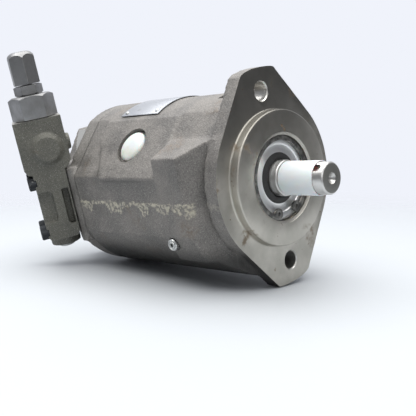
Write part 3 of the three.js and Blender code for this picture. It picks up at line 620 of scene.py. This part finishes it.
def cap_screw_tree(material):
    tree, entry, leave = tree_of("cap_screw", ("Head Radius", "Head Height", "Socket Radius", "Socket Depth",
                                               "Shank Radius", "Shank Length"))
    size = entry.outputs
    head = tree.nodes.new("GeometryNodeMeshCylinder")
    head.inputs["Vertices"].default_value = 72
    cone = tree.nodes.new("GeometryNodeMeshCone")
    cone.inputs["Vertices"].default_value = 72
    rim = number(tree, "MULTIPLY", size["Head Radius"], 0.12)
    tree.links.new(size["Head Radius"], head.inputs["Radius"])
    tree.links.new(number(tree, "SUBTRACT", size["Head Height"], rim), head.inputs["Depth"])
    tree.links.new(number(tree, "SUBTRACT", size["Head Radius"], rim), cone.inputs["Radius Top"])
    tree.links.new(size["Head Radius"], cone.inputs["Radius Bottom"])
    tree.links.new(rim, cone.inputs["Depth"])
    straight = number(tree, "SUBTRACT", size["Head Height"], rim)
    lower = moved(tree, head.outputs["Mesh"], number(tree, "MULTIPLY", straight, 0.5))
    upper = moved(tree, cone.outputs["Mesh"], number(tree, "SUBTRACT", straight, 0.0001))
    position = tree.nodes.new("GeometryNodeInputPosition")
    index = tree.nodes.new("GeometryNodeInputIndex")
    odd = number(tree, "MODULO", index.outputs[0], 2)
    spread = number(tree, "MULTIPLY", number(tree, "SUBTRACT", odd, 0.5), 0.035)
    scaled = tree.nodes.new("ShaderNodeVectorMath")
    scaled.operation = "MULTIPLY"
    tree.links.new(position.outputs[0], scaled.inputs[0])
    scaled.inputs[1].default_value = (1, 1, 0)
    grown = tree.nodes.new("ShaderNodeVectorMath")
    grown.operation = "SCALE"
    tree.links.new(scaled.outputs[0], grown.inputs[0])
    tree.links.new(spread, grown.inputs["Scale"])
    knurled = tree.nodes.new("GeometryNodeSetPosition")
    tree.links.new(lower, knurled.inputs["Geometry"])
    tree.links.new(grown.outputs[0], knurled.inputs["Offset"])
    joined = tree.nodes.new("GeometryNodeMeshBoolean")
    joined.operation = "UNION"
    joined.solver = "MANIFOLD"
    shank = cylinder(tree, 32, size["Shank Radius"], size["Shank Length"])
    low_shank = moved(tree, shank.outputs["Mesh"],
                      number(tree, "ADD", number(tree, "MULTIPLY", size["Shank Length"], -0.5), 0.0002))
    for part in (knurled.outputs[0], upper, low_shank):
        tree.links.new(part, joined.inputs["Mesh 2"])
    socket = cylinder(tree, 6, size["Socket Radius"], size["Socket Depth"])
    raised = number(tree, "SUBTRACT", number(tree, "ADD", size["Head Height"], 0.0001),
                    number(tree, "MULTIPLY", size["Socket Depth"], 0.5))
    drilled = tree.nodes.new("GeometryNodeMeshBoolean")
    drilled.operation = "DIFFERENCE"
    drilled.solver = "MANIFOLD"
    tree.links.new(joined.outputs["Mesh"], drilled.inputs["Mesh 1"])
    tree.links.new(moved(tree, socket.outputs["Mesh"], raised), drilled.inputs["Mesh 2"])
    return finish_tree(tree, entry, leave, drilled.outputs["Mesh"], material)


def finish_tree(tree, entry, leave, shape, material):
    """Sets the shape on every place, made real, in its material."""
    spread = tree.nodes.new("GeometryNodeInstanceOnPoints")
    link(tree, entry, "Geometry", spread, "Points")
    tree.links.new(shape, spread.inputs["Instance"])
    real = tree.nodes.new("GeometryNodeRealizeInstances")
    painted = tree.nodes.new("GeometryNodeSetMaterial")
    painted.inputs["Material"].default_value = material
    link(tree, spread, "Instances", real, "Geometry")
    link(tree, real, "Geometry", painted, "Geometry")
    link(tree, painted, "Geometry", leave, "Geometry")
    return tree


def repeated(name, places, tree, turn, **sizes):
    """One mesh of a tree's shape at each place, then turned and moved as a whole."""
    made = mesh_object(name, [Vector(place) * mm for place in places], [])
    repeat = made.modifiers.new("repeat", "NODES")
    repeat.node_group = tree
    for item in tree.interface.items_tree:
        size = sizes.get(item.name.replace(" ", "_").lower())
        if item.in_out == "INPUT" and size is not None:
            repeat[item.identifier] = size * mm
    bake(made)
    made.data.transform(turn)
    return made


black_oxide, black_shader, here = new_material("black_oxide", Metallic=0.7)
worn = here.noise(320, 4).step(0.55, 0.75)
feed(black_shader, Base_Color=worn.mix((0.030, 0.033, 0.037, 1), (0.13, 0.13, 0.125, 1)),
     Roughness=0.34 + 0.2 * here.noise(500, 2), Normal=bumps(here.noise(1500, 2), 0.02 * mm))
screws = cap_screw_tree(black_oxide)
to_rear = Matrix(((0, 0, -1, 0), (0, 1, 0, 0), (1, 0, 0, 0), (0, 0, 0, 1)))
cover_screws = repeated("cover_screws", [(z, y, 0.3 - screw_seat) for y, z in screw_places], screws, to_rear,
                        head_radius=6.2, head_height=8, socket_radius=3.46, socket_depth=4.2,
                        shank_radius=4, shank_length=23.3)
fit(cover_screws, "case", "black_screw", *[f"port_plate_screw_{i}" for i in range(1, 5)], angle=25)
to_side = Matrix(((1, 0, 0, 0), (0, 0, -1, 0), (0, 1, 0, 0), (0, 0, 0, 1)))
valve_screws = repeated("valve_screws", [(x, z, 21.6) for x, z in valve_screw_places], screws,
                        valve_turn @ to_side, head_radius=5, head_height=5.6, socket_radius=2.89,
                        socket_depth=3.2, shank_radius=3, shank_length=32.4)
fit(valve_screws, "case", "black_screw", *[f"valve_screw_{i}" for i in range(1, 5)], angle=25)

# Shaft seal: a pressed steel can with a moulded rubber lip, pushed into the bore up to the front
# bearing, so that its bright dished face and thin black lip show round the shaft.
seal_profile = [(-5.4, 11.5), (-5.4, 25.6), (-5.0, 25.7), (2.1, 25.7), (2.6, 25.5), (2.7, 25.1), (2.7, 21.6),
                (2.5, 21.0), (2.1, 20.7), (1.9, 20.2), (1.9, 16.4), (2.1, 15.6), (3.2, 13.2), (3.4, 12.6),
                (3.3, 11.9), (2.9, 11.5), (-0.6, 14.2), (-3.4, 14.2)]
seal = turned("seal", seal_profile, count=128, looped=True)
seal_can = machined("seal_can", (0.90, 0.90, 0.89, 1), (0.74, 0.74, 0.73, 1), 0.26)
seal_black, seal_shader, here = new_material("seal_black", Metallic=0.0)
feed(seal_shader, Base_Color=here.noise(300, 3).mix((0.010, 0.010, 0.011, 1), (0.035, 0.034, 0.032, 1)),
     Roughness=0.45 + 0.2 * here.noise(700, 2), Normal=bumps(here.noise(1200, 2), 0.03 * mm))
fit(seal, "case", "seal_rubber", "shaft_seal", materials=(seal_can, seal_black))
for face in seal.data.polygons:
    at = face.center / mm
    face.material_index = 1 if math.hypot(at.y, at.z) < 14.6 or at.x < 0 else 0

# Retaining ring: a phosphated spring-steel circlip sprung into a groove in front of the seal. It is
# open at the bottom, with a plier hole in the eye at each end.
ring_outline = arc((0, 0), 25.6, -72.8, 252.8, 96)
ring_outline += arc((0, 0), 22.9, 247.1, -67.1, 88)
ring = prism("retaining_ring", ring_outline, 0, 3.3, 4.9)
for angle in (-67, 247):
    eye = (21.9 * math.cos(math.radians(angle)), 21.9 * math.sin(math.radians(angle)))
    carve(ring, [turned("eye", [(3.3, 0), (3.3, 3.35), (4.9, 3.35), (4.9, 0)], 0, eye, 40)], "UNION")
    carve(ring, [turned("plier_hole", [(2, 0), (2, 1.25), (6, 1.25), (6, 0)], 0, eye, 28)])
rounded = ring.modifiers.new("edges", "BEVEL")
rounded.width = 0.12 * mm
rounded.segments = 2
bake(ring)
phosphate, phosphate_shader, here = new_material("phosphate", Metallic=0.85)
feed(phosphate_shader, Base_Color=here.noise(260, 4).step(0.35, 0.7).mix((0.10, 0.10, 0.095, 1),
                                                                         (0.30, 0.29, 0.27, 1)),
     Roughness=0.36 + 0.16 * here.noise(800, 2), Normal=bumps(here.noise(1600, 2), 0.01 * mm))
fit(ring, "case", "ring_steel", "seal_retaining_ring", materials=(phosphate,))

# Drive shaft: hardened and ground steel, 19.05 mm at the keyed end, with a larger polished collar where
# the seal runs, a rounded-end keyway cut by an end mill, and a centre hole left from grinding.
shaft_end, shaft_radius = 41, 9.525
shaft_profile = [(34.5, 0), (36.6, 1.0), (39.4, 2.2), (40.2, 3.0), (shaft_end, 3.4), (shaft_end, 8.3),
                 (40.85, 8.6), (40.1, 9.4), (39.9, shaft_radius), (9.4, shaft_radius), (9.0, 9.7),
                 (8.9, 10.2), (8.5, 10.8), (8.1, 11), (-9.1, 11), (-9.1, 12.5), (-25.2, 12.5),
                 (-25.2, 14.5), (-28, 14.5), (-30, 10), (-145.3, 10), (-145.6, 9.7), (-145.6, 0)]
shaft = turned("shaft", shaft_profile, count=112)
keyway = prism("keyway", arc((16.4, 0), 2.4, 90, 270, 20) + arc((35.6, 0), 2.4, -90, 90, 20), 2, 7.2, 12)
keyway.data.transform(Matrix.Rotation(math.radians(35), 4, "X"))
carve(shaft, [keyway])
shaft_ground = machined("shaft_ground", (0.66, 0.655, 0.64, 1), (0.47, 0.465, 0.45, 1), 0.20, rings=0.5)
end_turned = machined("shaft_end_turned", (0.30, 0.297, 0.276, 1), (0.21, 0.207, 0.193, 1), 0.38, stains=0.2)
fit(shaft, "rotating_group", "shaft_steel", "drive_shaft", materials=(shaft_ground, end_turned))
for face in shaft.data.polygons:
    face.material_index = 1 if face.center.x > (shaft_end - 0.1) * mm else 0

# Transit sleeve: a thin white polyethylene tube pushed over the shaft end for shipping. It is slightly
# wavy, and a little see-through at its edge.
sleeve = turned("sleeve", [(9.4, 9.8), (9.4, 10.15), (9.6, 10.3), (21, 10.26), (33.7, 10.3), (34, 10.18),
                           (34, 9.8)], count=112, looped=True)
push(sleeve, lambda place, direction: -0.03 + 0.03 * noise.noise(place * 0.25))
white_plastic, plastic_shader, here = new_material("white_plastic", Metallic=0.0, Subsurface_Weight=0.2,
                                                   Subsurface_Scale=0.002)
smudged = here.noise(180, 4).step(0.62, 0.8) * 0.35
feed(plastic_shader, Base_Color=smudged.mix((0.79, 0.80, 0.81, 1), (0.60, 0.59, 0.55, 1)),
     Roughness=0.34 + 0.18 * here.noise(260, 3), Normal=bumps(here.noise(700, 3), 0.03 * mm))
fit(sleeve, "rotating_group", "white_plastic", "shaft_sleeve", materials=(white_plastic,))

# Drain plug: a white polyethylene cap with a domed, slightly sunken face, pushed into the case drain on
# the sloping shoulder.
plug = turned("plug", [(-9, 0), (-9, 7.2), (-8.6, 7.5), (-1, 7.5), (-1, 10.1), (-0.8, 10.35), (0.5, 10.4),
                       (1.2, 10.1), (1.9, 9.3), (2.45, 7.6), (2.8, 5.2), (3.0, 2.6), (3.0, 0)], 2, (0, 0), 96)
face_at = Vector((-80, -4, -4)) + Vector((0, -1, 1)) * 35.5
plug.data.transform(Matrix.Translation(face_at * mm) @ Matrix.Rotation(math.radians(45), 4, "X"))
plug_white, plug_shader, here = new_material("plug_white", Metallic=0.0, Subsurface_Weight=0.3,
                                             Subsurface_Scale=0.003)
tint = here.noise(95, 4).step(0.42, 0.75)
feed(plug_shader, Base_Color=tint.mix((0.66, 0.69, 0.68, 1), (0.57, 0.59, 0.50, 1)),
     Roughness=0.26 + 0.2 * here.noise(220, 3), Normal=bumps(here.noise(160, 2), 0.25 * mm, 0.6))
fit(plug, "case", "white_plastic", "drain_plug", materials=(plug_white,))

# Gauge plug: a small plated screw low on the side, with a hexagon socket and a ring turned on its face.
gauge = turned("gauge", [(-48, 0), (-48, 3.8), (-57.2, 3.8), (-57.7, 3.4), (-57.7, 2.9), (-57.4, 2.7),
                         (-57.4, 2.3), (-57.9, 2.1), (-57.9, 0)], 1, (-41, -26), 56)
carve(gauge, [prism("socket", [(-41 + y, -26 + z) for y, z in arc((0, 0), 1.5, 0, 300, 5)], 1, -59, -55.8)])
zinc_plate, zinc_shader, here = new_material("zinc_plate", Metallic=0.95)
dull = here.noise(240, 4).step(0.35, 0.7)
feed(zinc_shader, Base_Color=dull.mix((0.56, 0.57, 0.56, 1), (0.34, 0.35, 0.34, 1)),
     Roughness=0.26 + 0.22 * dull, Normal=bumps(here.noise(900, 2), 0.02 * mm))
fit(gauge, "case", "fitting_steel", "gauge_plug", materials=(zinc_plate,))

# Type plate: a blank rectangle of thin anodised aluminium, bent over the crown and held at its corners
# by four drive rivets with domed heads.
plate_arc = arc((0, 0), 54.9, 64.2, 115.8, 48) + arc((0, 0), 54.35, 115.8, 64.2, 48)
plate = prism("type_plate", plate_arc, 0, -106, -68)
trim = plate.modifiers.new("edges", "BEVEL")
trim.width = 0.1 * mm
trim.segments = 2
bake(plate)
anodised, anodised_shader, here = new_material("anodised", Metallic=0.9)
x, y, z = here.parts()
brushed = here.node("ShaderNodeTexNoise", {"W": x * 6000, "Scale": 1.0, "Detail": 3.0}, noise_dimensions="1D")
scuffs = here.noise(130, 5).step(0.60, 0.74)
feed(anodised_shader, Base_Color=scuffs.mix((0.40, 0.415, 0.44, 1), (0.28, 0.285, 0.29, 1)),
     Roughness=0.36 + 0.12 * brushed + 0.2 * scuffs, Normal=bumps(brushed, 0.006 * mm))
fit(plate, "case", "plate_aluminium", "name_plate", materials=(anodised,))


def rivet_tree(material):
    tree, entry, leave = tree_of("drive_rivet", ("Head Radius", "Head Height"))
    size = entry.outputs
    dome = tree.nodes.new("GeometryNodeMeshUVSphere")
    dome.inputs["Segments"].default_value = 32
    dome.inputs["Rings"].default_value = 16
    tree.links.new(size["Head Radius"], dome.inputs["Radius"])
    flat = tree.nodes.new("ShaderNodeCombineXYZ")
    flat.inputs["Y"].default_value = 1
    flat.inputs["X"].default_value = 1
    tree.links.new(number(tree, "DIVIDE", size["Head Height"], size["Head Radius"]), flat.inputs["Z"])
    squashed = tree.nodes.new("GeometryNodeTransform")
    link(tree, dome, "Mesh", squashed, "Geometry")
    link(tree, flat, "Vector", squashed, "Scale")
    return finish_tree(tree, entry, leave, squashed.outputs["Geometry"], material)


rivets = rivet_tree(zinc_plate)
plate_rivets = mesh_object("plate_rivets", [], [])
for angle in (64.2 + 3.6, 115.8 - 3.6):
    lean = Matrix.Rotation(math.radians(angle - 90), 4, "X")
    pair = repeated("rivet_pair", [(-102.5, 0, 54.8), (-71.5, 0, 54.8)], rivets, lean,
                    head_radius=1.55, head_height=0.95)
    carried = [vertex.co.copy() for vertex in pair.data.vertices]
    faces = [list(face.vertices) for face in pair.data.polygons]
    start = [vertex.co.copy() for vertex in plate_rivets.data.vertices]
    kept = [list(face.vertices) for face in plate_rivets.data.polygons]
    mesh = bpy.data.meshes.new("plate_rivets")
    mesh.from_pydata(start + carried, [], kept + [[i + len(start) for i in face] for face in faces])
    plate_rivets.data = mesh
    bpy.data.objects.remove(pair)
fit(plate_rivets, "case", "fitting_steel", materials=(zinc_plate,))
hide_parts("name_plate")

# Control valve: a small grey-iron casting screwed to the side of the port plate. Its bore, top face and
# mounting face are machined, and the rest is as cast, with a round pad and hollows in the broad face.
spool_at = (-14.5, -11)
valve = prism("control_valve", [(-27.4, 60.5), (-27.4, 26.2), (-25.2, 22.4), (-0.4, 22.4), (2.6, 24.2),
                                (5.1, 28.2), (5.1, 60.5)], 0, -29, 0)
lower = [(-22.9, 24), (-22.9, -22), (-21, -25.5), (-2.5, -25.5), (-0.4, -22), (-0.4, 24)]
carve(valve, [prism("lower", lower, 0, -29, 0),
              turned("foot", [(-31, 0), (-31, 10.0), (-30.4, 10.4), (-20, 10.4), (-20, 0)], 2, spool_at, 64),
              turned("pad", [(-1, 0), (-1, 11.2), (0.3, 11), (2.4, 8.8), (3, 8), (3, 0)], 0,
                     (-8.7, 38.1), 64),
              turned("back_pad", [(4, 0), (4, 5.5), (7.2, 5.5), (7.6, 5.0), (7.6, 0)], 1, (-5.6, 40), 48)],
      "UNION")
carve(valve, [prism("pocket", [(-6.2, -14), (-5, -16), (-1.7, -16), (-1.7, 9), (-6.2, 9)], 0, -7, 1),
              prism("relief", [(-24, -12.5), (-14.5, -12.5), (-13, -10), (-13, 7), (-14.5, 9), (-24, 9)], 0,
                    -3.5, 1)])
cast_skin(valve, 0.55, 3, 0.08)
carve(valve, [prism("top_face", [(-60, -60), (30, -60), (30, 30), (-60, 30)], 2, 58.7, 70),
              turned("bore", [(-31.5, 0), (-31.5, 5.3), (36, 5.3), (36, 0)], 2, spool_at, 48),
              turned("foot_bore", [(-32, 0), (-32, 7.0), (-30.6, 6.6), (-23.5, 6.6), (-23.5, 0)], 2,
                     spool_at, 48),
              turned("plug_bore", [(34, 0), (34, 9.2), (60, 9.2), (60, 0)], 2, spool_at, 64)])
for place in valve_screw_places:
    seat = [(-24, 0), (-24, 5.5), (-21.3, 5.5), (-21.3, 3.4), (1, 3.4), (1, 0)]
    carve(valve, [turned("screw_hole", seat, 1, place, 40)])
valve.data.transform(valve_turn)
valve_iron = cast_iron("valve_iron", (0.155, 0.153, 0.128, 1), (0.07, 0.07, 0.058, 1), 0.35)
valve_bright = machined("valve_bright", (0.55, 0.54, 0.50, 1), (0.40, 0.39, 0.36, 1), 0.3)
valve.data.materials.clear()
valve.data.materials.append(valve_iron)
valve.data.materials.append(valve_bright)
for face in valve.data.polygons:
    face.material_index = 1 if face.center.z > 58.6 * mm and face.normal.z > 0.9 else 0
fit(valve, "case", "cast_valve", "valve_body")

# Valve fittings: a plated hexagon plug screwed into the top of the valve, with the lock nut and domed cap
# nut of the pressure setting on it, and a small pressed plug that closes the bore below.
spool_line = valve_turn @ Matrix.Translation(Vector((*spool_at, 0)) * mm)


def hexagon(name, across_flats, low, high, turn, top=1.6, foot=0.5):
    """A hexagon bar end with its corners turned off round, more at the top than at the foot."""
    corner = across_flats / math.sqrt(3)
    angle = math.degrees(turn)
    made = prism(name, arc((0, 0), corner, angle, angle + 300, 5), 2, low, high)
    side = made.modifiers.new("edges", "BEVEL")
    side.width = 0.35 * mm
    side.segments = 3
    bake(made)
    round_off = turned("round_off", [
        (low, 0), (low, corner - foot * 1.4), (low + foot, corner + 0.2), (high - top, corner + 0.2),
        (high - 0.35 * top, across_flats / 2 + 0.35), (high, across_flats / 2 - 0.8), (high, 0)],
        2, (0, 0), 120)
    return carve(made, [round_off], "INTERSECT")


satin_steel, satin_shader, here = new_material("satin_steel", Metallic=0.9)
film = here.noise(110, 4).step(0.3, 0.72)
marks = here.noise(820, 3)
feed(satin_shader, Base_Color=(film * 0.7 + marks * 0.3).mix((0.31, 0.312, 0.315, 1), (0.21, 0.21, 0.21, 1)),
     Roughness=0.33 + 0.12 * film + 0.10 * marks, Normal=bumps(marks, 0.025 * mm))
plug_hex = hexagon("adjuster_hexagon", 27, 59.1, 75, 0.52, top=1.8)
stem = [(44, 0), (44, 8.4), (44.5, 8.9), (60, 8.9), (60, 0)]
carve(plug_hex, [turned("stem", stem, 2, (0, 0), 64)], "UNION")
carve(plug_hex, [turned("hollow", [(43, 0), (43, 7), (68, 7), (68, 0)], 2, (0, 0), 48),
                 turned("through", [(67, 0), (67, 4.3), (76, 4.3), (76, 0)], 2, (0, 0), 40)])
plug_hex.data.transform(spool_line)
fit(plug_hex, "case", "fitting_steel", "adjuster_plug", angle=20, materials=(satin_steel,))
nut = hexagon("lock_nut_hexagon", 17, 75.4, 82, 0.52, top=0.9, foot=0.9)
carve(nut, [turned("through", [(70, 0), (70, 4.3), (90, 4.3), (90, 0)], 2, (0, 0), 40)])
nut.data.transform(spool_line)
fit(nut, "case", "fitting_steel", "lock_nut", angle=20, materials=(satin_steel,))
cap = hexagon("cap_nut_hexagon", 17, 82.4, 104.4, 0.1, top=1.0, foot=0.7)
dome = [(82, 0), (82, 12), (99.2, 12), (100.0, 9.9), (101.6, 9.0), (102.9, 7.9), (103.8, 6.6), (104.3, 5.2),
        (104.4, 4.4), (104.4, 0)]
carve(cap, [turned("dome", dome, 2, (0, 0), 120)], "INTERSECT")
carve(cap, [turned("inside", [(81, 0), (81, 4.5), (100, 4.5), (101, 0)], 2, (0, 0), 40)])
cap.data.transform(spool_line)
fit(cap, "case", "fitting_steel", "cap_nut", angle=20, materials=(satin_steel,))
end_plug = turned("end_plug", [(-33.4, 0), (-33.4, 4.2), (-33.1, 4.9), (-32.4, 6.1), (-31.9, 6.3),
                               (-23.8, 6.3), (-23.8, 0)], 2, (0, 0), 64)
end_plug.data.transform(spool_line)
fit(end_plug, "case", "fitting_steel", "valve_end_plug", materials=(zinc_plate,))

# Hidden works: the rotating group, swashplate, bearings, springs and stroking pistons keep the shapes of
# the engineering model. Rollers and pistons are ground steel, sliding faces bronze, springs oiled wire.
ground = machined("ground_steel", (0.68, 0.68, 0.67, 1), (0.50, 0.50, 0.49, 1), 0.18)
bronze, bronze_shader, here = new_material("bronze", Metallic=0.95)
feed(bronze_shader, Base_Color=here.noise(120, 4).mix((0.50, 0.33, 0.13, 1), (0.66, 0.48, 0.24, 1)),
     Roughness=0.26 + 0.2 * here.noise(400, 3), Normal=bumps(here.noise(1300, 2), 0.01 * mm))
spring_wire, wire_shader, here = new_material("spring_wire", Metallic=0.85)
feed(wire_shader, Base_Color=here.noise(300, 3).mix((0.10, 0.10, 0.11, 1), (0.27, 0.27, 0.28, 1)),
     Roughness=0.30 + 0.15 * here.noise(700, 2), Normal=bumps(here.noise(1800, 2), 0.01 * mm))
refinish(ground, "front_bearing_cup", "front_bearing_cone", "front_bearing_rollers", "rear_bearing_cup",
         "rear_bearing_rollers", "cylinder_block", "retainer_plate", "retaining_ball", "swashplate",
         "control_piston", "bias_piston", "valve_spool", "adjusting_screw",
         *[f"piston_{i}" for i in range(1, 10)])
refinish(bronze, "distributor_plate", "cradle_bearing_left", "cradle_bearing_right",
         *[f"slipper_{i}" for i in range(1, 10)])
refinish(spring_wire, "block_spring", "bias_spring", "valve_spring")
